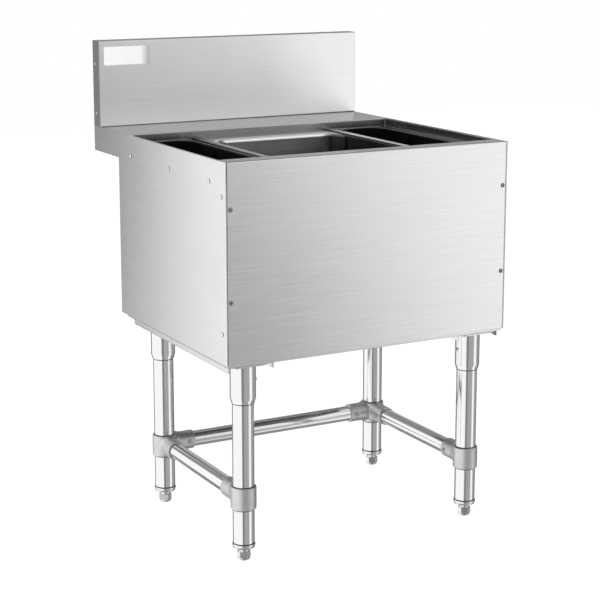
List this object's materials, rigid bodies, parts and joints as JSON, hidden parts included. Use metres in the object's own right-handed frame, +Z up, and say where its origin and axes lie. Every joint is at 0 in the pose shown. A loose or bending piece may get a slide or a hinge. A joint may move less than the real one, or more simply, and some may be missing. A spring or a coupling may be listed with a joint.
{
  "type": "underbar ice bin",
  "caption": "Insulated stainless ice bin for behind a bar, with lift-out bottle wells beside the tub, a splash at the wall and braced tubular legs on adjustable feet.",
  "frame": {"origin": "on the floor under the middle of the whole part", "axes": "+X to the right seen from the front, +Y to the wall behind, +Z up"},
  "size_m": [0.6128, 0.6232, 0.943],
  "materials": {
    "brushed_stainless": "stainless sheet with a satin brushed grain",
    "polished_stainless": "stainless tube polished along its length",
    "cast_aluminium": "cast and tumbled, satin grey",
    "plated_steel": "turned and bright plated",
    "black_abs": "formed black plastic with a fine texture",
    "polyurethane_foam": "moulded closed-cell foam with a skin"
  },
  "bodies": {
    "cabinet": {"front_panel": "brushed_stainless", "left_side_panel": "brushed_stainless", "right_side_panel": "brushed_stainless", "left_front_bracket": "brushed_stainless", "right_front_bracket": "brushed_stainless", "back_panel": "brushed_stainless", "bottom_panel": "brushed_stainless", "top_deck": "brushed_stainless", "rear_apron": "brushed_stainless", "backsplash": "brushed_stainless", "ice_liner": "brushed_stainless", "left_partition_cap": "brushed_stainless", "right_partition_cap": "brushed_stainless", "left_leg_channel": "brushed_stainless", "right_leg_channel": "brushed_stainless", "insulation_jacket": "polyurethane_foam", "drain_tail": "plated_steel", "drain_nut": "plated_steel", "front_left_foot_insert": "plated_steel", "front_right_foot_insert": "plated_steel", "rear_left_foot_insert": "plated_steel", "rear_right_foot_insert": "plated_steel", "front_screw_lower_left": "plated_steel", "front_screw_lower_right": "plated_steel", "front_screw_upper_left": "plated_steel", "front_screw_upper_right": "plated_steel", "left_rivet_upper_front": "plated_steel", "left_rivet_upper_middle": "plated_steel", "left_rivet_upper_rear": "plated_steel", "left_rivet_edge_lower": "plated_steel", "left_rivet_edge_upper": "plated_steel", "right_rivet_upper_front": "plated_steel", "right_rivet_upper_middle": "plated_steel", "right_rivet_upper_rear": "plated_steel", "right_rivet_edge_lower": "plated_steel", "right_rivet_edge_upper": "plated_steel", "front_left_leg_socket": "polished_stainless", "front_left_leg_tube": "polished_stainless", "front_right_leg_socket": "polished_stainless", "front_right_leg_tube": "polished_stainless", "rear_left_leg_socket": "polished_stainless", "rear_left_leg_tube": "polished_stainless", "rear_right_leg_socket": "polished_stainless", "rear_right_leg_tube": "polished_stainless", "left_brace": "polished_stainless", "right_brace": "polished_stainless", "rear_brace": "polished_stainless", "front_left_brace_connector": "cast_aluminium", "front_right_brace_connector": "cast_aluminium", "rear_left_brace_connector": "cast_aluminium", "rear_right_brace_connector": "cast_aluminium"},
    "front_left_foot": {"front_left_foot": "plated_steel"},
    "front_right_foot": {"front_right_foot": "plated_steel"},
    "rear_left_foot": {"rear_left_foot": "plated_steel"},
    "rear_right_foot": {"rear_right_foot": "plated_steel"},
    "left_bottle_well": {"left_bottle_well": "black_abs"},
    "right_bottle_well": {"right_bottle_well": "black_abs"},
    "drain_strainer": {"drain_strainer": "brushed_stainless"}
  },
  "joints": [
    {"name": "front_left_foot_adjust", "type": "slide", "parent": "cabinet", "child": "front_left_foot", "axis": [0, 0, -1], "range_m": [0, 0.025]},
    {"name": "front_right_foot_adjust", "type": "slide", "parent": "cabinet", "child": "front_right_foot", "axis": [0, 0, -1], "range_m": [0, 0.025]},
    {"name": "rear_left_foot_adjust", "type": "slide", "parent": "cabinet", "child": "rear_left_foot", "axis": [0, 0, -1], "range_m": [0, 0.025]},
    {"name": "rear_right_foot_adjust", "type": "slide", "parent": "cabinet", "child": "rear_right_foot", "axis": [0, 0, -1], "range_m": [0, 0.025]},
    {"name": "left_bottle_well_lift", "type": "slide", "parent": "cabinet", "child": "left_bottle_well", "axis": [0, 0, 1], "range_m": [0, 0.26]},
    {"name": "right_bottle_well_lift", "type": "slide", "parent": "cabinet", "child": "right_bottle_well", "axis": [0, 0, 1], "range_m": [0, 0.26]},
    {"name": "drain_strainer_lift", "type": "slide", "parent": "cabinet", "child": "drain_strainer", "axis": [0, 0, 1], "range_m": [0, 0.33]}
  ]
}
